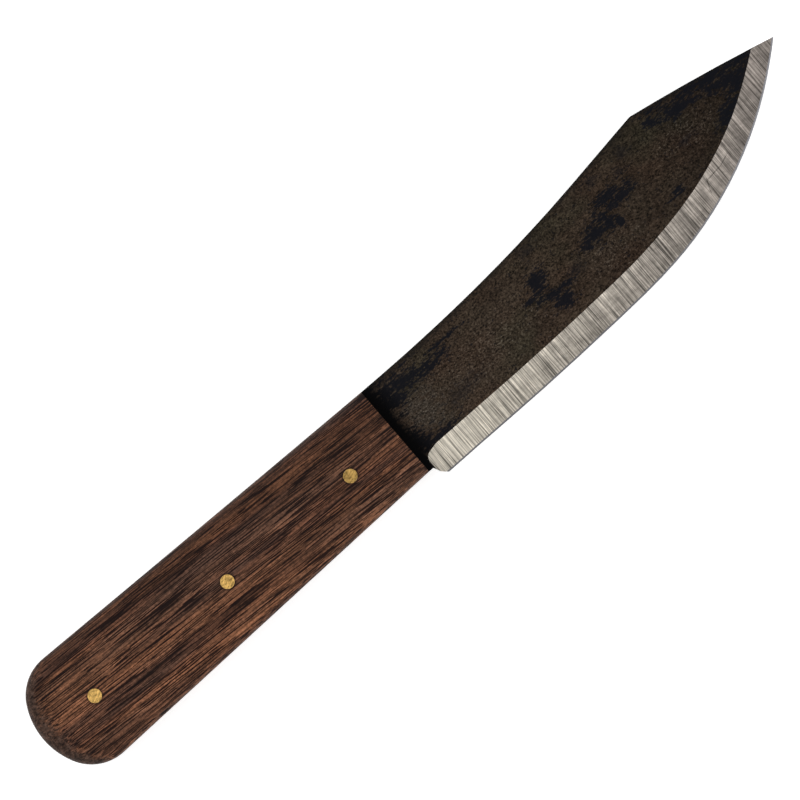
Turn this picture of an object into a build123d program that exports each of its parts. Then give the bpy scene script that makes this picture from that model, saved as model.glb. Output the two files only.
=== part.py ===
from build123d import *
import os
from math import asin, degrees

# A fixed-blade knife with a deep belly: a steel blade with a full tang, two wooden scales, three brass pins.
#
# Units are millimetres. The knife lies on its side on a table. X runs along the handle with the tip
# towards +X, Y runs across it with the back of the blade towards +Y, and Z is up. The outlines are
# drawn from their own zero, where the line of pins crosses the front of the handle, and their planes
# are moved so that the model's origin is the middle of the knife's bounding box, at its bottom.

# Handle, seen from above. Heights are measured from the line of pins.
handle_length = 120.0
handle_back = 14.5  # from the line of pins up to the back of the handle, at its front
handle_back_middle = 15.05
handle_back_middle_setback = 46.8  # from the front of the handle
handle_back_butt = 16.02
handle_belly = 12.35  # from the line of pins down to the belly of the handle, at its front
handle_belly_butt = 15.98
butt_radius = 19.7
butt_corner_radius = 12.3

# Handle, seen from the side.
scale_thickness = 6.5
scale_edge_radius = 3.2
butt_round_length = 7.5  # how far from the butt the scales start to curve down
butt_round_radius = 12.0
butt_round_turn = 60.0  # enough to carry the curve past the butt

# Pins.
pin_diameter = 3.7
pin_clearance = 0.02  # between a pin and its hole, where the glue is
front_pin_setback = 16.1  # from the front of the handle
butt_pin_setback = 17.4  # from the butt
middle_pin_shift = 1.65  # how far the middle pin stands forward of half-way

# Blade, seen from above.
blade_length = 140.0
tip_height = 14.7
hump_setback = 41.6  # from the tip back to the hump
hump_height = 23.2
hump_radius = 3.0
hollow_start = 6.0  # the back of the blade starts to rise this far from the handle
hollow_setback = 22.4  # from the hump back to the end of the hollow curve
hollow_height = 19.7
clip_radius = 620.0
choil_length = 1.4  # the square step between the handle and the heel
heel_shoulder = (2.4, -14.4)
heel_corner = (3.9, -15.75)
belly_start = (30.0, -15.5)  # the edge is almost straight up to here
belly_setbacks = (76.0, 52.0, 32.0, 14.0)  # from the tip back to places along the belly
belly_heights = (-14.45, -12.1, -6.1, 3.55)
heel_direction = (1.0, 0.025)
tip_direction = (1.0, 0.98)

# Blade, seen from the end.
stock_thickness = 3.0
tip_thickness = 2.2  # the stock thins evenly from the handle to the tip
bevel_width = 7.75
bevel_width_tip = 5.3
bevel_narrowing = 50.0  # from the tip back to where the bevel starts to narrow
edge_bevel_width = 0.45  # the narrow sharpened bevel at the very edge
edge_bevel_rise = 0.13  # how far it climbs from the middle of the blade, on each side
plunge_setback = 1.7  # from the handle forward to the start of the bevel
plunge_height = -10.75  # where the plunge starts to round over
plunge_radius = 2.3
plunge_turn = 78.0  # it stops short of level, and so runs out where it meets the bevel's top line
plunge_lean = 0.2  # sideways lean of the plunge wall for each millimetre down
back_ease = 0.25  # the broken corners along the back of the blade

# Cutting shapes.
overrun = 6.0  # how far they stand out past what they cut
clip_overrun = 1.15  # the arc of the clip is this many times as long as the clip
bevel_overrun = 0.3  # the bevel's slope is carried on above the flat by this share of its height
edge_steps = 12  # the bevel follows the edge through this many equal steps

os.makedirs("parts", exist_ok=True)

half_stock = stock_thickness / 2
top_face = half_stock + scale_thickness
butt = -handle_length
tip = Vector(blade_length, tip_height)
hump = Vector(blade_length - hump_setback, hump_height)
hollow_end = Vector(hump.X - hollow_setback, hollow_height)
taper_rise = (tip_thickness - stock_thickness) / 2 / blade_length
belly = [Vector(blade_length - back, height) for back, height in zip(belly_setbacks, belly_heights)]
edge = Spline(heel_corner, belly_start, *belly, tip, tangents=[heel_direction, tip_direction])


def bevel_reach(x):
    """The width of the main bevel, square to the edge, at a place along the edge."""
    share = max(0.0, 1 - (blade_length - x) / bevel_narrowing)
    return bevel_width + (bevel_width_tip - bevel_width) * share


def beyond_edge(reach):
    """The area outside the blade's belly, up to the edge line moved inwards by reach(x)."""
    points = []
    for step in range(edge_steps + 1):
        place = edge @ (step / edge_steps)
        inward = (edge % (step / edge_steps)).rotate(Axis.Z, 90)
        points.append(place + inward * reach(place.X))
    heel_end = points[0] - (edge % 0) * overrun
    tip_end = points[-1] + (edge % 1) * 2 * overrun
    low = heel_corner[1] - 2 * overrun
    far = blade_length + 3 * overrun
    with BuildSketch() as area:
        with BuildLine():
            Line(heel_end, points[0])
            Spline(*points, tangents=[edge % 0, edge % 1])
            Line(points[-1], tip_end)
            Polyline(tip_end, (far, tip_end.Y), (far, low), (heel_end.X, low), heel_end)
        make_face()
    return area.sketch


def handle_outline():
    """The outline that the tang and both scales share."""
    end_run = butt_radius - (butt_radius**2 - handle_back_butt**2) ** 0.5
    back_corner = (butt + end_run, handle_back_butt)
    belly_corner = (butt + end_run, -handle_belly_butt)
    with BuildSketch() as outline:
        with BuildLine():
            back_middle = (-handle_back_middle_setback, handle_back_middle)
            ThreePointArc((0, handle_back), back_middle, back_corner)
            ThreePointArc(back_corner, (butt, 0), belly_corner)
            Polyline(belly_corner, (0, -handle_belly), (0, handle_back))
        make_face()
        fillet(outline.vertices().group_by(Axis.X)[0], radius=butt_corner_radius)
    return outline.sketch


def blade_outline():
    """The blade forward of the handle, with spare steel below its belly and past its tip."""
    chord = tip - hump
    half_turn = degrees(asin(chord.length / 2 / clip_radius))
    low = heel_corner[1] - overrun
    heel_slope = (heel_corner[0] - heel_shoulder[0]) / (heel_corner[1] - heel_shoulder[1])
    heel_foot = (heel_corner[0] + heel_slope * (low - heel_corner[1]), low)
    with BuildSketch() as outline:
        with BuildLine():
            Line((0, handle_back), (hollow_start, handle_back))
            hollow = Spline((hollow_start, handle_back), hollow_end, tangents=[(1, 0), hump - hollow_end])
            Line(hollow @ 1, hump)
            clip = JernArc(hump, chord.rotate(Axis.Z, half_turn), clip_radius, -2 * clip_overrun * half_turn)
            Polyline(clip @ 1, (blade_length + overrun, low), heel_foot, heel_shoulder)
            Polyline(heel_shoulder, (choil_length, -handle_belly), (0, -handle_belly), (0, handle_back))
        make_face()
        fillet(outline.vertices().sort_by(Axis.Y)[-1], radius=hump_radius)
    return outline.sketch


# The whole knife seen from above gives the place of its middle.
with BuildSketch() as silhouette:
    add(blade_outline())
    add(beyond_edge(lambda x: 0), mode=Mode.SUBTRACT)
    add(handle_outline())

centre = silhouette.sketch.bounding_box().center()
middle = Plane((-centre.X, -centre.Y, top_face))

butt_pin_x = butt + butt_pin_setback
middle_pin_x = (butt_pin_x - front_pin_setback) / 2 + middle_pin_shift
pin_tops = {
    "front_pin": Plane(middle.origin + Vector(-front_pin_setback, 0, top_face)),
    "middle_pin": Plane(middle.origin + Vector(middle_pin_x, 0, top_face)),
    "butt_pin": Plane(middle.origin + Vector(butt_pin_x, 0, top_face)),
}

# The steel ground away outside the bevels. Its upper half is made first: from the edge, at the middle
# of the blade, up over the narrow edge bevel and the main bevel to a little above the flat.
grind_height = half_stock + (half_stock - edge_bevel_rise) * bevel_overrun
grind_slope = (1 + bevel_overrun) * taper_rise
above_flat = Plane(middle.origin + Vector(0, 0, grind_height), (1, 0, grind_slope), (-grind_slope, 0, 1))


def grind_reach(x):
    """The width of the main bevel with its slope carried on above the flat."""
    return bevel_reach(x) + (bevel_reach(x) - edge_bevel_width) * bevel_overrun


with BuildPart() as bevel_grind:
    with BuildSketch(middle):
        add(beyond_edge(lambda x: 0))
    with BuildSketch(middle.offset(edge_bevel_rise)):
        add(beyond_edge(lambda x: edge_bevel_width))
    with BuildSketch(above_flat):
        add(beyond_edge(grind_reach))
    loft(ruled=True)
    # Near the handle the bevel stops at a leaning wall with a rounded upper corner.
    with BuildSketch(middle.offset(half_stock)):
        with BuildLine():
            foot = (plunge_setback, heel_corner[1] - 3 * overrun)
            wall = Line(foot, (plunge_setback, plunge_height))
            corner = JernArc(wall @ 1, (0, 1), plunge_radius, -plunge_turn)
            ramp = PolarLine(corner @ 1, 2 * blade_length, direction=corner % 1)
            Polyline(ramp @ 1, ((ramp @ 1).X, foot[1]), foot)
        make_face()
    extrude(amount=2 * stock_thickness, dir=(plunge_lean, -plunge_lean, -1), both=True, mode=Mode.INTERSECT)
    mirror(about=middle)

# The blade forward of the handle is a block ground to an even taper, with its back eased, and then
# bevelled. The tang keeps the full thickness of the stock.
upper_flat = Plane(middle.origin + Vector(0, 0, half_stock), (1, 0, taper_rise), (-taper_rise, 0, 1))
lower_flat = Plane(middle.origin - Vector(0, 0, half_stock), (1, 0, -taper_rise), (-taper_rise, 0, -1))

with BuildPart() as blade:
    with BuildSketch(middle):
        add(blade_outline())
    extrude(amount=half_stock + overrun, both=True)
    split(bisect_by=upper_flat, keep=Keep.BOTTOM)
    split(bisect_by=lower_flat, keep=Keep.BOTTOM)
    flats = [blade.faces().sort_by(Axis.Z)[0], blade.faces().sort_by(Axis.Z)[-1]]
    lowest_back = handle_back - centre.Y - back_ease
    back_edges = ShapeList(flats).edges().filter_by_position(Axis.Y, lowest_back, hump_height)
    chamfer(back_edges, length=back_ease)
    add(bevel_grind.part, mode=Mode.SUBTRACT)
    with BuildSketch(middle):
        add(handle_outline())
    extrude(amount=half_stock, both=True)
    with Locations(*pin_tops.values()):
        Hole(radius=pin_diameter / 2 + pin_clearance)

blade.part.label = "blade"
export_step(blade.part, "parts/blade.step")

# Scales: the handle's outline, curved down towards the butt, with the outer edges rounded.
side = Plane(middle.origin, x_dir=(1, 0, 0), z_dir=(0, -1, 0))

with BuildPart() as upper_scale:
    with BuildSketch(middle.offset(half_stock)):
        add(handle_outline())
    extrude(amount=scale_thickness)
    with BuildSketch(side):
        with BuildLine():
            curve_start = (butt + butt_round_length, top_face)
            curve = JernArc(curve_start, (-1, 0), butt_round_radius, butt_round_turn)
            Polyline(curve @ 1, ((curve @ 1).X, 0), (overrun, 0), (overrun, top_face), curve_start)
        make_face()
    extrude(amount=handle_belly_butt + overrun, both=True, mode=Mode.INTERSECT)
    rim = upper_scale.edges().filter_by(Axis.Y, reverse=True).filter_by(Axis.Z, reverse=True)
    fillet(rim - rim.group_by(Axis.Z)[0], radius=scale_edge_radius)
    with Locations(*pin_tops.values()):
        Hole(radius=pin_diameter / 2 + pin_clearance)

with BuildPart() as lower_scale:
    mirror(upper_scale.part, about=middle)

for name, scale in (("upper_scale", upper_scale), ("lower_scale", lower_scale)):
    scale.part.label = name
    export_step(scale.part, f"parts/{name}.step")

# Pins: plain brass rod through both scales and the tang, ground flush with the wood.
for name, pin_top in pin_tops.items():
    with BuildPart() as pin:
        with BuildSketch(pin_top):
            Circle(pin_diameter / 2)
        extrude(amount=-2 * top_face)
    pin.part.label = name
    export_step(pin.part, f"parts/{name}.step")
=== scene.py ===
"""Looks for a fixed-blade knife: forge-scaled steel, dark open-grained wood and flush brass pins."""

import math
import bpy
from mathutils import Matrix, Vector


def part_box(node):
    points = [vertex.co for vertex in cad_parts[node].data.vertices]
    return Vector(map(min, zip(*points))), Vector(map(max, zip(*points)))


bl_info = {
    "name": "Fixed-Blade Knife Looks",
    "version": (1, 0, 0),
    "blender": (4, 5, 0),
    "location": "View3D > Sidebar > Knife",
    "description": "Finishes a packed fixed-blade knife and sets it on a pale floor",
    "category": "Object",
}

import bpy
from mathutils import Vector

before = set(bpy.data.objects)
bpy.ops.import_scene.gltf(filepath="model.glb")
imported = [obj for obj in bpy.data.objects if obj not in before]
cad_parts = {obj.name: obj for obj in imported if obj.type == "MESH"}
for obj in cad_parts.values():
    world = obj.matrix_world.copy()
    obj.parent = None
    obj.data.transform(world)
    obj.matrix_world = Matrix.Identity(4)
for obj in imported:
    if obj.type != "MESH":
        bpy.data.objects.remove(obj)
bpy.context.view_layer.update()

PIN_NODES = ("front_pin", "middle_pin", "butt_pin")
SCALE_NODES = ("upper_scale", "lower_scale")

# Places on the knife, in metres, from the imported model.
BLADE_LOW, BLADE_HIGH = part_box("blade")
PIN_LOW, PIN_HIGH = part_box("front_pin")
HANDLE_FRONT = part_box("upper_scale")[1].x
PIN_LINE = (PIN_LOW.y + PIN_HIGH.y) / 2
MIDDLE_HEIGHT = (BLADE_LOW.z + BLADE_HIGH.z) / 2
TANG_HALF = (BLADE_HIGH.z - BLADE_LOW.z) / 2
MM = 0.001

# The back of the blade, in millimetres ahead of the handle and above the line of pins.
RISE_AHEAD = 6.0
HUMP_AHEAD = 98.4
TIP_AHEAD = 140.0
BACK_ABOVE = 14.0
HUMP_ABOVE = 23.2
TIP_ABOVE = 14.7
RISE_POWER = 1.6

# How squarely a face looks up or down, from 0 to 1, tells the blade's surfaces apart.
FLAT_FACING = 0.996
HONED_FACING = 0.970
BEVEL_FACING = 0.90
UPRIGHT_FACING = 0.5

# In millimetres: the radius of the stained ring round each pin and of the middle of its end, inside a
# brighter rim, the glue line's reach into the wood, how far the grain drifts from side to side, how far from
# the middle plane the painted shade on the bevels is darkest, and the width of the dark rims of the tang's
# edge.
PIN_RING_RADIUS = 2.3
PIN_CORE_RADIUS = 1.78
GLUE_LINE_WIDTH = 0.45
GRAIN_DRIFT = 1.6
BEVEL_SHADE_FOOT_HEIGHT = 0.35
TANG_RIM_WIDTH = 0.35

# Depths of the surfaces' relief, in millimetres.
PORE_DEPTH = 0.10
FIBRE_DEPTH = 0.04
CRUST_DEPTH = 0.06
GROOVE_DEPTH = 0.012
BRASS_SCRATCH_DEPTH = 0.02

# The stage, in metres, but for the middle of the view, in millimetres ahead of the handle and above
# the line of pins, and the width of the camera's sensor, in millimetres.
KEY_PLACE = (-0.55, 0.7, 0.9)
FILL_PLACE = (0.75, -0.65, 0.9)
LIGHT_SIZE = 1.0
NEAREST_SEEN = 0.01
VIEW_MIDDLE = (6.3, 6.47)
SENSOR_WIDTH = 36.0

# Most of a noise's values lie between these two.
NOISE_LOW = 0.3
NOISE_HIGH = 0.7

# A Mix node's own numbers for its value and colour sockets, because their names repeat.
MIX_VALUES = (2, 3)
MIX_COLOURS = (6, 7)
MIX_COLOUR_RESULT = 2


def add_node(tree, kind, inputs=None, **settings):
    """Adds a shader node, sets its properties, and fills its inputs from values or from other sockets."""
    made = tree.nodes.new("ShaderNode" + kind)
    for name, value in settings.items():
        setattr(made, name, value)
    for name, value in (inputs or {}).items():
        if isinstance(value, bpy.types.NodeSocket):
            tree.links.new(value, made.inputs[name])
        else:
            made.inputs[name].default_value = value
    return made


def start_material(name, **shader_values):
    """A material with an empty tree but for its Principled shader and output."""
    material = bpy.data.materials.new(name)
    material.use_nodes = True
    tree = material.node_tree
    tree.nodes.clear()
    shader = add_node(tree, "BsdfPrincipled", shader_values)
    add_node(tree, "OutputMaterial", {"Surface": shader.outputs["BSDF"]})
    return material, tree, shader


def maths(tree, operation, first, second=0.0):
    """The output of a Math node."""
    return add_node(tree, "Math", {0: first, 1: second}, operation=operation).outputs[0]


def plus(tree, first, second):
    """One value added to another."""
    return maths(tree, "ADD", first, second)


def minus(tree, first, second):
    """The second value taken from the first."""
    return maths(tree, "SUBTRACT", first, second)


def times(tree, first, second):
    """One value multiplied by another."""
    return maths(tree, "MULTIPLY", first, second)


def above_limit(tree, value, limit):
    """1 where the value is over the limit, and 0 elsewhere."""
    return maths(tree, "GREATER_THAN", value, limit)


def below_limit(tree, value, limit):
    """1 where the value is under the limit, and 0 elsewhere."""
    return maths(tree, "LESS_THAN", value, limit)


def remap(tree, value, low, high, to_low=0.0, to_high=1.0, curve="LINEAR"):
    """Maps a value from one range to another, held at both ends."""
    inputs = {"Value": value, "From Min": low, "From Max": high, "To Min": to_low, "To Max": to_high}
    return add_node(tree, "MapRange", inputs, interpolation_type=curve).outputs["Result"]


def varied(tree, value, at_low, at_high):
    """Maps most of a noise's values to the range given."""
    return remap(tree, value, NOISE_LOW, NOISE_HIGH, at_low, at_high)


def noise(tree, place, grain_size, detail=2.0, roughness=0.5, turn=0.0, shift=(0.0, 0.0, 0.0)):
    """Noise whose features have their own length, width and height in millimetres, turned about Z."""
    inputs = {
        "Vector": place,
        "Location": shift,
        "Rotation": (0.0, 0.0, turn),
        "Scale": [size * MM for size in grain_size],
    }
    mapping = add_node(tree, "Mapping", inputs, vector_type="TEXTURE")
    values = {"Vector": mapping.outputs[0], "Scale": 1.0, "Detail": detail, "Roughness": roughness}
    return add_node(tree, "TexNoise", values).outputs["Fac"]


def mix_value(tree, share, first, second):
    """The value from first to second by share."""
    low, high = MIX_VALUES
    return add_node(tree, "Mix", {"Factor": share, low: first, high: second}).outputs[0]


def mix_colour(tree, share, first, second, blend="MIX"):
    """The colour from first to second by share."""
    made = add_node(tree, "Mix", {"Factor": share}, data_type="RGBA", blend_type=blend)
    for number, colour in zip(MIX_COLOURS, (first, second)):
        if isinstance(colour, bpy.types.NodeSocket):
            tree.links.new(colour, made.inputs[number])
        else:
            made.inputs[number].default_value = (*colour, 1.0)
    return made.outputs[MIX_COLOUR_RESULT]


def ramp(tree, value, stops):
    """A colour ramp of (place, colour) stops: the lowest, the highest, and then those between them."""
    made = add_node(tree, "ValToRGB", {"Fac": value})
    elements = made.color_ramp.elements
    for index, (place, colour) in enumerate(stops):
        element = elements[index] if index < 2 else elements.new(place)
        element.position = place
        element.color = (*colour, 1.0)
    return made.outputs["Color"]


def bump(tree, height, distance, strength, under=None):
    """A Bump node's normal, on top of another if given."""
    inputs = {"Height": height, "Distance": distance, "Strength": strength}
    if under is not None:
        inputs["Normal"] = under
    return add_node(tree, "Bump", inputs).outputs["Normal"]


def object_place(tree):
    """The place on the object, in metres, from the Object coordinates."""
    return add_node(tree, "TexCoord").outputs["Object"]


def split_vector(tree, vector):
    """The X, Y and Z of a vector."""
    return add_node(tree, "SeparateXYZ", {0: vector}).outputs


def from_middle_plane(tree, height):
    """How far a height is from the plane half-way through the knife, in metres."""
    return maths(tree, "ABSOLUTE", minus(tree, height, MIDDLE_HEIGHT))


def grey(tree, value):
    """A grey of the given brightness, for multiplying a colour by a value."""
    return add_node(tree, "CombineColor", {0: value, 1: value, 2: value}).outputs[0]


def tinted(tree, colour, brightness):
    """The colour made brighter or darker by a factor."""
    return mix_colour(tree, 1.0, colour, grey(tree, brightness), "MULTIPLY")


def patch_mask(tree, place, patches, ragged=0.0, firm=0.18):
    """Where patches lie: each has its centre ahead of the handle and above the pins, half sizes and turn."""
    nearest = None
    for ahead, above, half_length, half_height, turn in patches:
        inputs = {
            "Vector": place,
            "Location": (HANDLE_FRONT + ahead * MM, PIN_LINE + above * MM, 0.0),
            "Rotation": (0.0, 0.0, math.radians(turn)),
            "Scale": (half_length * MM, half_height * MM, 1.0),
        }
        local = add_node(tree, "Mapping", inputs, vector_type="TEXTURE").outputs[0]
        reach = add_node(tree, "VectorMath", {0: local}, operation="LENGTH").outputs["Value"]
        nearest = reach if nearest is None else maths(tree, "MINIMUM", nearest, reach)
    return remap(tree, plus(tree, nearest, ragged), 1.0 - firm, 1.0 + firm, 1.0, 0.0)


def pin_circles(radius):
    """A round patch of the given radius, in millimetres, on each pin's centre."""
    circles = []
    for name in PIN_NODES:
        low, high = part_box(name)
        ahead = ((low.x + high.x) / 2 - HANDLE_FRONT) / MM
        above = ((low.y + high.y) / 2 - PIN_LINE) / MM
        circles.append((ahead, above, radius, radius, 0.0))
    return circles


# ------------------------------------------------------------------ materials


# Broad lighter and darker zones in the wood: centre ahead of the handle's front and above the pins, half
# length, half height in millimetres, and turn in degrees.
LIGHT_WOOD = (
    (-108.0, -1.0, 5.0, 8.0, 0.0),
    (-98.0, -10.0, 9.0, 3.0, -2.0),
    (-84.0, 6.8, 14.0, 4.0, -2.5),
    (-69.0, 1.5, 11.0, 2.4, -2.5),
    (-84.0, -6.5, 14.0, 3.8, -2.0),
    (-52.0, -10.8, 22.0, 2.2, 1.0),
    (-32.0, 0.5, 9.0, 2.0, -2.0),
    (-11.0, -8.4, 11.0, 1.5, -1.0),
    (-9.0, -3.5, 5.0, 1.6, 0.0),
)
DARK_WOOD = (
    (-115.5, 9.5, 4.0, 5.0, 40.0),
    (-60.0, 15.0, 62.0, 2.3, -0.7),
    (-67.0, 11.0, 9.0, 1.8, -2.0),
    (-50.0, 13.3, 32.0, 1.2, -0.7),
    (-25.0, 10.8, 14.0, 1.6, -1.5),
    (-80.0, 5.2, 20.0, 0.9, -2.5),
    (-17.0, 7.2, 23.0, 5.6, -2.0),
    (-70.0, -5.9, 14.0, 1.3, -2.5),
    (-26.0, -6.2, 24.0, 1.4, -2.0),
)


def wood_material(look):
    """Dark open-grained wood: broad streaks, fine fibres, short dark pores, and darker end grain that also
    carries painted shade on the rounded butt.
    """
    material, tree, shader = start_material("handle_wood", **{"Specular IOR Level": 0.10})
    place = object_place(tree)

    # The grain drifts a little from side to side on its way along the handle.
    sway = noise(tree, place, (60, 22, 22), detail=1.0)
    drift = times(tree, minus(tree, sway, 0.5), GRAIN_DRIFT * MM)
    offset = add_node(tree, "CombineXYZ", {"Y": drift, "Z": drift}).outputs[0]
    grain = add_node(tree, "VectorMath", {0: place, 1: offset}, operation="ADD").outputs[0]
    tilt = -look.grain_tilt
    streaks = noise(tree, grain, (75, 4.2, 4.2), detail=1.0, turn=tilt)
    greyness = noise(tree, grain, (90, 4.5, 4.5), detail=1.0, turn=tilt, shift=(0.31, 0.12, 0.05))
    fibres = noise(tree, grain, (18, 0.40, 0.40), detail=1.0, roughness=0.6, turn=tilt)
    crowding = noise(tree, grain, (38, 3.4, 3.4), detail=1.0, turn=tilt, shift=(0.17, 0.42, 0.29))
    long_pores = noise(tree, grain, (20, 0.37, 0.37), detail=0.0, turn=tilt, shift=(0.4, 0.3, 0.2))
    thin_pores = noise(tree, grain, (13, 0.31, 0.31), detail=0.0, turn=tilt, shift=(0.9, 0.4, 0.3))
    short_pores = noise(tree, grain, (7, 0.27, 0.27), detail=0.0, turn=tilt, shift=(0.2, 0.1, 0.6))
    grit = noise(tree, place, (1.00, 0.72, 0.72), detail=3.0, roughness=0.9)

    # Streaks, broad zones and fibres.
    stops = (
        (0.30, look.dark_streak_colour),
        (0.68, look.warm_streak_colour),
        (0.46, look.wood_colour),
    )
    base = ramp(tree, streaks, stops)
    base = mix_colour(tree, remap(tree, greyness, 0.44, 0.66, 0.0, 0.5), base, look.grey_streak_colour)
    drifting = varied(tree, greyness, -0.5, 0.5)
    light_zone = patch_mask(tree, place, LIGHT_WOOD, drifting, firm=0.5)
    dark_zone = patch_mask(tree, place, DARK_WOOD, drifting, firm=0.5)
    base = tinted(tree, base, remap(tree, light_zone, 0.0, 1.0, 1.0, 1.28))
    base = tinted(tree, base, remap(tree, dark_zone, 0.0, 1.0, 1.0, 0.64))
    base = tinted(tree, base, remap(tree, fibres, 0.29, 0.71, 0.26, 1.76))
    base = tinted(tree, base, varied(tree, grit, 0.36, 1.72))

    # Pores, which crowd together in the darker bands.
    crowded = remap(tree, crowding, 0.34, 0.66)
    crowded = plus(tree, crowded, times(tree, dark_zone, 0.2))
    crowded = minus(tree, crowded, times(tree, light_zone, 0.2))
    base = tinted(tree, base, remap(tree, crowded, 0.0, 1.0, 1.06, 0.98))
    pore_start = remap(tree, crowded, 0.0, 1.0, 0.66, 0.63)
    long_depth = remap(tree, minus(tree, long_pores, pore_start), -0.01, 0.03)
    thin_depth = remap(tree, minus(tree, thin_pores, pore_start), -0.01, 0.02)
    short_depth = remap(tree, minus(tree, short_pores, pore_start), -0.01, 0.03)
    pore_depth = maths(tree, "MAXIMUM", maths(tree, "MAXIMUM", long_depth, thin_depth), short_depth)
    base = mix_colour(tree, times(tree, pore_depth, 0.95), base, look.pore_colour)

    # End grain, where the surface turns to face along the handle, drawn darker both as the end grain's own
    # colour and as painted shade on the rounded butt.
    normal = add_node(tree, "NewGeometry").outputs["Normal"]
    endward = maths(tree, "ABSOLUTE", split_vector(tree, normal)["X"])
    blotches = noise(tree, place, (1.6, 1.4, 1.4), detail=4.0, roughness=0.75)
    endward = plus(tree, endward, remap(tree, blotches, 0.2, 0.8, -0.14, 0.14))
    end_grain_and_shade = remap(tree, endward, 0.10, 0.42, 0.0, 0.85, "SMOOTHSTEP")
    end_grain_and_shade_tone = tinted(tree, look.end_grain_and_shade_colour, remap(tree, blotches, 0.36, 0.64, 0.25, 2.1))
    end_grain_and_shade_tone = tinted(tree, end_grain_and_shade_tone, varied(tree, grit, 0.15, 1.95))
    base = mix_colour(tree, end_grain_and_shade, base, end_grain_and_shade_tone)

    # The dark glue line against the tang, and a stained ring round each pin.
    from_middle = from_middle_plane(tree, split_vector(tree, place)["Z"])
    seam = remap(tree, from_middle, TANG_HALF, TANG_HALF + GLUE_LINE_WIDTH * MM, 0.85, 0.0)
    base = mix_colour(tree, seam, base, look.pore_colour)
    rings = patch_mask(tree, place, pin_circles(PIN_RING_RADIUS), firm=0.08)
    base = mix_colour(tree, times(tree, rings, 0.5), base, look.pore_colour)

    tree.links.new(base, shader.inputs["Base Color"])
    roughness = remap(tree, fibres, 0.2, 0.8, 0.44, 0.58)
    roughness = plus(tree, roughness, times(tree, pore_depth, 0.25))
    tree.links.new(roughness, shader.inputs["Roughness"])
    surface = bump(tree, minus(tree, 1.0, pore_depth), PORE_DEPTH * MM, 0.8)
    tree.links.new(bump(tree, fibres, FIBRE_DEPTH * MM, 0.6, surface), shader.inputs["Normal"])
    return material


# Patches on the blade: centre ahead of the handle and above the pins, half length, half height in
# millimetres, and turn in degrees. First come the blue-black ones on the upper side and on the lower
# side, and then those that lie on both sides or, if faint, only on the upper one.
BARE_PATCHES_ABOVE = (
    (-3.0, 3.0, 6.5, 26.0, 0.0),
    (7.0, 10.0, 11.0, 2.3, -3.0),
    (15.0, 8.9, 7.5, 1.5, -3.0),
    (24.0, 11.2, 5.0, 0.45, 0.0),
    (2.5, 7.0, 7.0, 2.6, 8.0),
    (3.0, -5.2, 6.5, 3.2, -28.0),
    (9.0, -7.2, 6.0, 1.2, -3.0),
    (52.4, 5.6, 3.9, 2.3, 68.0),
    (53.9, 1.3, 2.3, 1.5, -20.0),
    (48.2, 3.7, 1.8, 0.6, 0.0),
    (58.6, 1.4, 3.4, 0.8, -2.0),
    (55.6, -1.8, 2.4, 2.0, 0.0),
    (68.6, 4.9, 2.4, 0.7, 4.0),
    (72.3, 5.9, 3.0, 2.2, 10.0),
    (76.8, 6.9, 2.8, 2.1, -35.0),
    (79.0, 4.8, 2.0, 1.0, -50.0),
    (82.6, 9.0, 5.2, 1.5, 8.0),
    (81.0, 11.7, 4.6, 1.5, 4.0),
    (108.3, 16.7, 4.7, 1.4, -5.0),
    (100.9, 18.9, 1.5, 1.1, -30.0),
    (121.0, 17.4, 14.0, 1.8, -11.0),
    (122.0, 14.6, 6.5, 1.5, -8.0),
    (118.8, 7.4, 5.0, 2.1, 32.0),
    (127.5, 13.0, 5.5, 1.9, 34.0),
    (95.6, -0.1, 5.0, 0.22, 0.0),
    (95.4, 0.9, 1.4, 0.6, 0.0),
)
BARE_PATCHES_BELOW = (
    (-3.0, 0.0, 6.5, 30.0, 0.0),
    (8.0, -5.0, 13.0, 2.2, 4.0),
    (5.0, 9.0, 7.5, 3.0, -14.0),
    (33.0, 5.0, 5.5, 2.4, 12.0),
    (39.0, 3.0, 6.0, 1.3, -10.0),
    (66.0, 12.5, 7.5, 2.0, 10.0),
    (88.0, 3.0, 5.5, 2.8, 30.0),
    (93.0, 7.0, 6.5, 1.5, 5.0),
    (112.0, 14.5, 7.0, 2.1, -8.0),
    (124.0, 11.0, 5.5, 2.2, 30.0),
)
BEVEL_SCRATCHES = (
    (102.6, -3.0, 1.5, 0.16, 68.0),
    (105.3, -1.9, 2.3, 0.13, 8.0),
    (109.3, -1.1, 2.1, 0.12, 20.0),
    (101.8, -5.0, 0.9, 0.12, 82.0),
)
WORN_PATCHES = (
    (8.5, 0.5, 5.5, 5.0, 0.0),
)
FAINT_PATCHES = (
    (79.8, 17.2, 1.8, 1.3, 0.0),
    (87.3, 14.6, 1.5, 1.0, 0.0),
    (105.6, 9.4, 2.0, 0.9, 0.0),
    (90.6, 17.3, 2.4, 1.3, 0.0),
    (56.0, 14.6, 3.0, 1.4, 5.0),
    (62.0, 2.2, 2.4, 1.2, 0.0),
    (20.0, -2.0, 5.0, 1.6, 10.0),
)
SPECKLED_PATCHES = (
    (106.5, 10.8, 7.5, 2.8, 0.0),
    (74.0, -1.0, 7.0, 3.0, 0.0),
    (30.0, 1.0, 14.0, 5.0, 0.0),
)


def blade_faces(tree, ahead):
    """Masks for the blade's flats, its bevels, the honed edge and the edge of the tang."""
    normal = add_node(tree, "NewGeometry").outputs["True Normal"]
    facing = maths(tree, "ABSOLUTE", split_vector(tree, normal)["Z"])
    flat = above_limit(tree, facing, FLAT_FACING)
    sloping = below_limit(tree, facing, FLAT_FACING)
    bevel = times(tree, above_limit(tree, facing, BEVEL_FACING), sloping)
    honed = times(tree, bevel, below_limit(tree, facing, HONED_FACING))
    upright = below_limit(tree, facing, UPRIGHT_FACING)
    tang_edge = times(tree, upright, below_limit(tree, ahead, 0.0))
    return flat, bevel, honed, tang_edge


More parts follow.
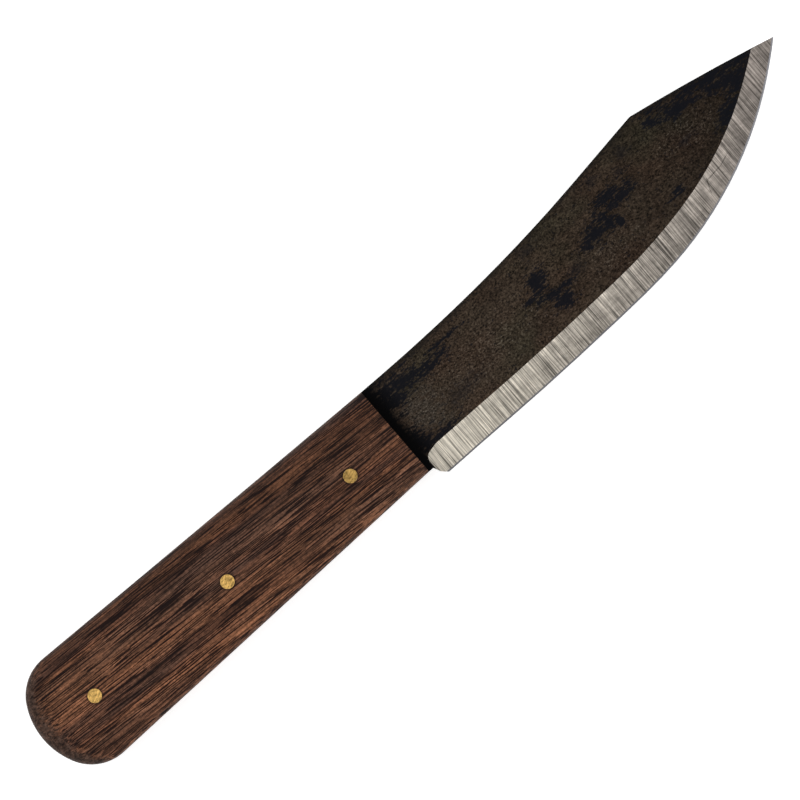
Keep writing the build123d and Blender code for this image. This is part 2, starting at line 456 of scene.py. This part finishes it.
def spine_height(tree, ahead):
    """How high the blade's back stands above the pins at a place ahead of the handle, in millimetres."""
    rising = remap(tree, ahead, RISE_AHEAD, HUMP_AHEAD)
    bow = maths(tree, "POWER", rising, RISE_POWER)
    back = remap(tree, bow, 0.0, 1.0, BACK_ABOVE, HUMP_ABOVE)
    clip = remap(tree, ahead, HUMP_AHEAD, TIP_AHEAD, HUMP_ABOVE, TIP_ABOVE)
    return maths(tree, "MINIMUM", back, clip)


def ragged_edge(tree, place, streaky):
    """How much the edges of the patches on the flats are frayed, streaked along the blade."""
    fine = noise(tree, place, (1.5, 0.55, 0.55), detail=4.0, roughness=0.75, shift=(0.3, 0.9, 0.0))
    broad = noise(tree, place, (6, 3, 3), detail=3.0, roughness=0.6, shift=(0.5, 0.2, 0.0))
    broad = plus(tree, broad, times(tree, minus(tree, streaky, 0.5), 0.8))
    return plus(tree, remap(tree, fine, 0.2, 0.8, 1.7, -1.7), remap(tree, broad, 0.2, 0.8, 0.8, -0.8))


def forge_scale(tree, look, place, ahead, above, speckle, pits):
    """The colour of the flats, the share of them that is bare, and the fraying of the patches' edges."""
    # Broad tones along the blade.
    mottle = noise(tree, place, (7, 5, 5), detail=4.0, roughness=0.6)
    rust = noise(tree, place, (16, 11, 11), detail=3.0, roughness=0.6, shift=(0.2, 0.1, 0.0))
    olive = noise(tree, place, (22, 14, 14), detail=2.0, roughness=0.6, shift=(0.7, 0.4, 0.0))
    streaky = noise(tree, place, (8, 0.45, 0.45), detail=2.0, roughness=0.6, shift=(0.6, 0.3, 0.1))
    colour = mix_colour(tree, remap(tree, rust, 0.40, 0.66), look.scale_colour, look.warm_scale_colour)
    colour = mix_colour(tree, remap(tree, olive, 0.5, 0.7, 0.0, 0.8), colour, look.olive_scale_colour)
    colour = tinted(tree, colour, remap(tree, ahead, 30.0, 120.0, 1.0, 0.60))
    colour = tinted(tree, colour, remap(tree, ahead, 96.0, 112.0, 1.0, 0.84))
    colour = tinted(tree, colour, varied(tree, mottle, 0.78, 1.2))
    colour = tinted(tree, colour, varied(tree, streaky, 0.78, 1.22))

    # Rubbed parts, with light flecks and dark pits.
    fray = ragged_edge(tree, place, streaky)
    worn = patch_mask(tree, place, WORN_PATCHES, fray, firm=0.5)
    colour = mix_colour(tree, times(tree, worn, 0.65), colour, look.worn_colour)
    colour = tinted(tree, colour, remap(tree, speckle, 0.37, 0.63, 0.0, 2.2))
    speckled = patch_mask(tree, place, SPECKLED_PATCHES, fray, firm=0.5)
    rubbed = remap(tree, maths(tree, "MAXIMUM", worn, speckled), 0.0, 1.0, 0.08, 0.55)
    flecks = remap(tree, speckle, 0.56, 0.66)
    colour = mix_colour(tree, times(tree, flecks, rubbed), colour, look.fleck_colour)
    colour = mix_colour(tree, remap(tree, pits, 0.64, 0.70, 0.0, 0.8), colour, look.bare_colour)

    # Faint patches on the upper side, the dark line of the back, and the bare patches on each side.
    topside = above_limit(tree, split_vector(tree, place)["Z"], MIDDLE_HEIGHT)
    faint = times(tree, patch_mask(tree, place, FAINT_PATCHES, fray, firm=0.4), topside)
    colour = mix_colour(tree, times(tree, faint, 0.45), colour, look.bare_colour)
    from_spine = minus(tree, spine_height(tree, ahead), above)
    spine_band = remap(tree, plus(tree, from_spine, fray), 0.6, 2.0, 0.85, 0.0)
    colour = mix_colour(tree, times(tree, spine_band, 0.8), colour, look.back_colour)
    bare_above = patch_mask(tree, place, BARE_PATCHES_ABOVE, fray)
    bare_below = patch_mask(tree, place, BARE_PATCHES_BELOW, fray)
    bare = mix_value(tree, topside, bare_below, bare_above)
    bare = maths(tree, "MAXIMUM", bare, remap(tree, ahead, 1.6, 4.2, 1.0, 0.0))
    bare_tone = mix_colour(tree, remap(tree, ahead, 2.0, 7.0), look.ricasso_colour, look.bare_colour)
    bare_depth = remap(tree, ahead, 3.0, 8.0, 0.99, 0.95)
    colour = mix_colour(tree, times(tree, bare, bare_depth), colour, bare_tone)
    return colour, bare, fray


def ground_steel(tree, look, place, ahead, from_middle, lines, fray):
    """The colour of the ground bevels, with grinding lines square to the handle and painted shade along and
    across them.
    """
    # Painted shade: brightness falls from heel to point, at the bevel's start by the plunge, and from the
    # flat towards the edge, standing in for how the light off the turning ground faces changes.
    glow = remap(tree, ahead, 0.0, 45.0, 1.18, 0.84)
    glow = times(tree, glow, remap(tree, ahead, 45.0, 90.0, 1.0, look.tip_painted_shade))
    glow = times(tree, glow, remap(tree, ahead, 1.8, 6.0, 0.84, 1.0))
    glow = times(tree, glow, remap(tree, ahead, 100.0, 120.0, 1.0, look.point_painted_shade))
    # Painted shade across the bevel, darker towards the cutting edge.
    across = remap(tree, from_middle, BEVEL_SHADE_FOOT_HEIGHT * MM, TANG_HALF, 0.72, 1.16)
    glow = times(tree, glow, mix_value(tree, remap(tree, ahead, 15.0, 90.0, 0.35, 1.0), 1.0, across))

    # Lines, blotches and a few scratches.
    broad_lines = noise(tree, place, (1.6, 12, 12), detail=2.0, shift=(0.2, 0.0, 0.0))
    blotches = noise(tree, place, (3.0, 2.4, 2.4), detail=4.0, roughness=0.75)
    blotchiness = remap(tree, ahead, 10.0, 45.0, 0.12, 0.32)
    glow = times(tree, glow, varied(tree, lines, 0.30, 1.68))
    glow = times(tree, glow, varied(tree, broad_lines, 0.88, 1.12))
    glow = times(tree, glow, plus(tree, times(tree, varied(tree, blotches, -1.0, 1.0), blotchiness), 1.0))
    scratches = patch_mask(tree, place, BEVEL_SCRATCHES, times(tree, fray, 0.4), firm=0.3)
    glow = times(tree, glow, remap(tree, scratches, 0.0, 1.0, 1.0, 0.45))
    steel = mix_colour(tree, remap(tree, ahead, 20.0, 130.0), look.ground_colour, look.ground_tip_colour)
    return tinted(tree, steel, glow)


def sanded_tang(tree, look, place, from_middle):
    """The colour of the tang's sanded edge between the scales."""
    sanding = noise(tree, place, (0.28, 3, 6), detail=2.0, roughness=0.6)
    stains = noise(tree, place, (6, 6, 3), detail=4.0, roughness=0.7, shift=(0.4, 0.0, 0.3))
    colour = tinted(tree, look.tang_colour, varied(tree, sanding, 0.5, 1.5))
    colour = tinted(tree, colour, remap(tree, stains, 0.35, 0.65, 0.62, 1.15))
    rim = remap(tree, from_middle, TANG_HALF - TANG_RIM_WIDTH * MM, TANG_HALF, 1.0, 0.3)
    return tinted(tree, colour, rim)


def blade_material(look):
    """Forge scale on the flats, bright cross-ground bevels, a dark back and a sanded tang edge."""
    material, tree, shader = start_material("blade_steel", **{"Specular IOR Level": 0.03})
    place = object_place(tree)
    split = split_vector(tree, place)
    ahead = maths(tree, "DIVIDE", minus(tree, split["X"], HANDLE_FRONT), MM)
    above = maths(tree, "DIVIDE", minus(tree, split["Y"], PIN_LINE), MM)
    from_middle = from_middle_plane(tree, split["Z"])
    flat, bevel, honed, tang_edge = blade_faces(tree, ahead)
    speckle = noise(tree, place, (0.62, 0.50, 0.50), detail=4.0, roughness=0.85)
    pits = noise(tree, place, (0.9, 0.7, 0.7), detail=2.0, roughness=0.6, shift=(0.3, 0.1, 0.2))
    lines = noise(tree, place, (0.30, 13, 13), detail=1.0, roughness=0.6)

    scale_colour, bare, fray = forge_scale(tree, look, place, ahead, above, speckle, pits)
    steel = ground_steel(tree, look, place, ahead, from_middle, lines, fray)
    steel = mix_colour(tree, honed, steel, look.honed_colour)
    back = tinted(tree, look.back_colour, varied(tree, speckle, 0.5, 1.8))
    colour = mix_colour(tree, flat, back, scale_colour)
    colour = mix_colour(tree, bevel, colour, steel)
    colour = mix_colour(tree, tang_edge, colour, sanded_tang(tree, look, place, from_middle))
    tree.links.new(colour, shader.inputs["Base Color"])

    bright = maths(tree, "MAXIMUM", bevel, tang_edge)
    tree.links.new(bright, shader.inputs["Metallic"])
    rough_scale = minus(tree, varied(tree, speckle, 0.48, 0.72), times(tree, bare, 0.08))
    rough_ground = varied(tree, lines, 0.34, 0.46)
    tree.links.new(mix_value(tree, bright, rough_scale, rough_ground), shader.inputs["Roughness"])
    relief = minus(tree, speckle, times(tree, remap(tree, pits, 0.62, 0.72), 0.8))
    crust = bump(tree, times(tree, relief, minus(tree, 1.0, bright)), CRUST_DEPTH * MM, 0.6)
    grooves = bump(tree, times(tree, lines, bright), GROOVE_DEPTH * MM, 0.8, crust)
    tree.links.new(grooves, shader.inputs["Normal"])
    return material


def brass_material(look):
    """Sanded brass rod ends: an uneven mottled tone, fine cross scratches and a brighter rim."""
    material, tree, shader = start_material("pin_brass", Metallic=1.0)
    place = object_place(tree)
    mottle = noise(tree, place, (0.75, 0.65, 0.65), detail=3.0, roughness=0.8)
    scratches = noise(tree, place, (1.8, 0.40, 0.5), detail=2.0, turn=math.radians(25))
    unevenness = plus(tree, mottle, scratches)
    tone = remap(tree, unevenness, 0.76, 1.24, 0.42, 1.48)
    core = patch_mask(tree, place, pin_circles(PIN_CORE_RADIUS), firm=0.05)
    tone = times(tree, tone, remap(tree, core, 0.0, 1.0, 1.25, 1.0))
    middle_pin_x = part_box("middle_pin")[0].x
    lengthwise = split_vector(tree, place)["X"]
    tone = times(tree, tone, remap(tree, lengthwise, middle_pin_x, PIN_LOW.x, 1.10, look.front_pin_tarnish))
    tree.links.new(tinted(tree, look.brass_colour, tone), shader.inputs["Base Color"])
    tree.links.new(varied(tree, mottle, 0.34, 0.50), shader.inputs["Roughness"])
    surface = bump(tree, unevenness, BRASS_SCRATCH_DEPTH * MM, 0.6)
    tree.links.new(surface, shader.inputs["Normal"])
    return material


def use_material(node_name, material):
    """Gives a CAD node one material in place of what it came with."""
    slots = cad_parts[node_name].material_slots
    if not slots:
        raise RuntimeError(f"{node_name} has no material slot")
    for slot in slots:
        slot.material = material


# ----------------------------------------------------------------- properties


def colour_property(name, description, default):
    """A colour that can be set in the panel."""
    return bpy.props.FloatVectorProperty(
        name=name, description=description, subtype="COLOR", size=3, min=0.0, max=1.0, default=default
    )


def share_property(name, description, default):
    """A share from 0 to 1 that can be set in the panel."""
    return bpy.props.FloatProperty(
        name=name, description=description, subtype="FACTOR", min=0.0, max=1.0, default=default
    )


def number_property(name, description, default, unit="NONE"):
    """A number that can be set in the panel."""
    return bpy.props.FloatProperty(name=name, description=description, default=default, unit=unit)


class KnifeHandleLook(bpy.types.PropertyGroup):
    """Colours and grain of the wooden scales."""

    grain_tilt: number_property(
        "Grain Tilt", "How far the grain falls towards the blade", math.radians(2.7), "ROTATION"
    )
    wood_colour: colour_property("Wood", "Middle tone of the wood", (0.084, 0.0345, 0.0183))
    warm_streak_colour: colour_property("Warm Streaks", "Lighter, redder streaks", (0.131, 0.0540, 0.0265))
    dark_streak_colour: colour_property("Dark Streaks", "Darkest streaks", (0.047, 0.0215, 0.0137))
    grey_streak_colour: colour_property("Grey Streaks", "Greyer brown bands", (0.060, 0.034, 0.0235))
    pore_colour: colour_property("Pores", "Colour down in the wood's pores", (0.0055, 0.0020, 0.0018))
    # End grain colour, darkened also as painted shade for the rounded butt.
    end_grain_and_shade_colour: colour_property("End Grain", "The wood where it is cut across", (0.034, 0.020, 0.0145))


class KnifeBladeLook(bpy.types.PropertyGroup):
    """Colours of the blade's surfaces."""

    scale_colour: colour_property("Forge Scale", "Main colour of the flats", (0.0285, 0.0202, 0.0138))
    warm_scale_colour: colour_property("Warm Scale", "Redder parts of the flats", (0.0300, 0.0190, 0.0125))
    olive_scale_colour: colour_property("Olive Scale", "Greener parts of the flats", (0.0235, 0.0200, 0.0125))
    worn_colour: colour_property("Worn Scale", "Greyer, rubbed parts of the flats", (0.036, 0.030, 0.0235))
    fleck_colour: colour_property("Flecks", "Light flecks in the rubbed parts", (0.150, 0.132, 0.108))
    bare_colour: colour_property("Bare Patches", "Blue-black patches on the flats", (0.0040, 0.0045, 0.0068))
    ricasso_colour: colour_property("By the Handle", "Black beside the handle", (0.0012, 0.0012, 0.0015))
    back_colour: colour_property("Back", "Back of the blade", (0.0070, 0.0062, 0.0056))
    ground_colour: colour_property("Ground Bevel", "Bright steel near the heel", (0.490, 0.450, 0.382))
    ground_tip_colour: colour_property("Ground Tip", "Duller steel near the tip", (0.490, 0.432, 0.388))
    honed_colour: colour_property("Cutting Edge", "The narrow bevel at the very edge", (0.16, 0.16, 0.17))
    tang_colour: colour_property("Tang Edge", "The sanded edge between the scales", (0.25, 0.24, 0.225))
    # Painted shade on the bevel: how bright its far half and its point are drawn against the heel.
    tip_painted_shade: share_property("Tip Dulling", "Brightness of the bevel's far half against the heel", 0.78)
    point_painted_shade: share_property("Point Dulling", "Further dulling of the bevel near its point", 0.68)


class KnifePinLook(bpy.types.PropertyGroup):
    """Colour of the brass pins."""

    brass_colour: colour_property("Brass", "Colour of the pins", (0.60, 0.375, 0.115))
    front_pin_tarnish: share_property("Front Pin Tarnish", "Brightness of the front pin", 0.76)


class KnifeStageLook(bpy.types.PropertyGroup):
    """The floor, lights and camera."""

    floor_width: number_property("Floor Width", "Side of the floor", 24.0, "LENGTH")
    floor_colour: colour_property("Floor", "Colour of the floor", (0.93, 0.93, 0.93))
    floor_glow: number_property("Floor Glow", "Light from the floor itself", 0.45)
    overhead: number_property("Overhead", "Brightness straight above", 0.62)
    horizon: number_property("Horizon", "Brightness all round the horizon", 0.75)
    key_power: number_property("Key Light", "Power of the main light", 8.0, "POWER")
    fill_power: number_property("Fill Light", "Power of the fill light", 6.0, "POWER")
    lens: number_property("Lens", "Focal length", 1000.0, "CAMERA")
    view_width: number_property("View Width", "Width of the view at the knife", 0.2056, "LENGTH")
    roll: number_property("Roll", "Turn of the handle in the view", math.radians(40.7), "ROTATION")


# ------------------------------------------------------------------ operators


class KNIFE_OT_handle(bpy.types.Operator):
    """Finish the two wooden scales"""

    bl_idname = "knife.handle"
    bl_label = "Finish Handle"

    def execute(self, context):
        material = wood_material(context.scene.knife_handle)
        for name in SCALE_NODES:
            use_material(name, material)
        return {"FINISHED"}


class KNIFE_OT_blade(bpy.types.Operator):
    """Finish the blade"""

    bl_idname = "knife.blade"
    bl_label = "Finish Blade"

    def execute(self, context):
        use_material("blade", blade_material(context.scene.knife_blade))
        return {"FINISHED"}


class KNIFE_OT_pins(bpy.types.Operator):
    """Finish the brass pins"""

    bl_idname = "knife.pins"
    bl_label = "Finish Pins"

    def execute(self, context):
        material = brass_material(context.scene.knife_pins)
        for name in PIN_NODES:
            use_material(name, material)
        return {"FINISHED"}


def add_area_light(name, place, power):
    """A square soft light that points at the knife."""
    bpy.ops.object.light_add(type="AREA", location=place)
    light = bpy.context.object
    light.name = name
    light.data.shape = "SQUARE"
    light.data.size = LIGHT_SIZE
    light.data.energy = power
    light.rotation_euler = (-Vector(place)).to_track_quat("-Z", "Y").to_euler()


def lay_floor(look):
    """A pale paper floor under the knife."""
    bpy.ops.mesh.primitive_plane_add(size=look.floor_width, location=(0, 0, 0))
    floor = bpy.context.object
    floor.name = "floor"
    material, _, shader = start_material("floor_paper", Roughness=0.9, **{"Specular IOR Level": 0.1})
    shader.inputs["Base Color"].default_value = (*look.floor_colour, 1.0)
    shader.inputs["Emission Color"].default_value = (1.0, 1.0, 1.0, 1.0)
    shader.inputs["Emission Strength"].default_value = look.floor_glow
    floor.data.materials.append(material)


def surroundings(look):
    """A plain world, a little dimmer overhead than at the horizon."""
    world = bpy.data.worlds.new("studio")
    world.use_nodes = True
    sky = world.node_tree
    direction = add_node(sky, "TexCoord").outputs["Generated"]
    height = split_vector(sky, direction)["Z"]
    brightness = remap(sky, height, 0.35, 0.95, look.horizon, look.overhead, "SMOOTHSTEP")
    sky.links.new(grey(sky, brightness), sky.nodes["Background"].inputs["Color"])
    return world


def add_camera(look):
    """A camera straight above the knife, turned about its line of sight."""
    ahead, above = VIEW_MIDDLE
    middle = Vector((HANDLE_FRONT + ahead * MM, PIN_LINE + above * MM, MIDDLE_HEIGHT))
    distance = look.view_width * look.lens / SENSOR_WIDTH
    bpy.ops.object.camera_add(location=middle + Vector((0, 0, distance)), rotation=(0, 0, -look.roll))
    camera = bpy.context.object
    camera.name = "camera"
    camera.data.lens = look.lens
    camera.data.sensor_width = SENSOR_WIDTH
    camera.data.clip_start = NEAREST_SEEN
    return camera


class KNIFE_OT_stage(bpy.types.Operator):
    """Add the floor, the lights, the surroundings and the camera"""

    bl_idname = "knife.stage"
    bl_label = "Set Stage"

    def execute(self, context):
        look = context.scene.knife_stage
        lay_floor(look)
        context.scene.world = surroundings(look)
        add_area_light("key_light", KEY_PLACE, look.key_power)
        add_area_light("fill_light", FILL_PLACE, look.fill_power)
        context.scene.camera = add_camera(look)
        context.scene.view_settings.view_transform = "Standard"
        return {"FINISHED"}


class KNIFE_PT_looks(bpy.types.Panel):
    """Lists the knife's pieces and its stage"""

    bl_label = "Knife"
    bl_idname = "KNIFE_PT_looks"
    bl_space_type = "VIEW_3D"
    bl_region_type = "UI"
    bl_category = "Knife"

    def draw(self, context):
        for group, _, operator in GROUPS:
            box = self.layout.box()
            box.operator(operator.bl_idname)
            look = getattr(context.scene, group)
            for name in look.__annotations__:
                box.prop(look, name)


# Each group of looks: its name on the scene, its properties, and the operator that uses them.
GROUPS = (
    ("knife_handle", KnifeHandleLook, KNIFE_OT_handle),
    ("knife_blade", KnifeBladeLook, KNIFE_OT_blade),
    ("knife_pins", KnifePinLook, KNIFE_OT_pins),
    ("knife_stage", KnifeStageLook, KNIFE_OT_stage),
)


def register():
    """Adds the properties, operators and panel to Blender."""
    for group, look, operator in GROUPS:
        bpy.utils.register_class(look)
        bpy.utils.register_class(operator)
        setattr(bpy.types.Scene, group, bpy.props.PointerProperty(type=look))
    bpy.utils.register_class(KNIFE_PT_looks)


def unregister():
    """Takes them out again."""
    bpy.utils.unregister_class(KNIFE_PT_looks)
    for group, look, operator in reversed(GROUPS):
        delattr(bpy.types.Scene, group)
        bpy.utils.unregister_class(operator)
        bpy.utils.unregister_class(look)


def main():
    """Registers everything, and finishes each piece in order."""
    register()
    bpy.ops.knife.handle()
    bpy.ops.knife.blade()
    bpy.ops.knife.pins()
    bpy.ops.knife.stage()


if __name__ == "__main__":
    main()
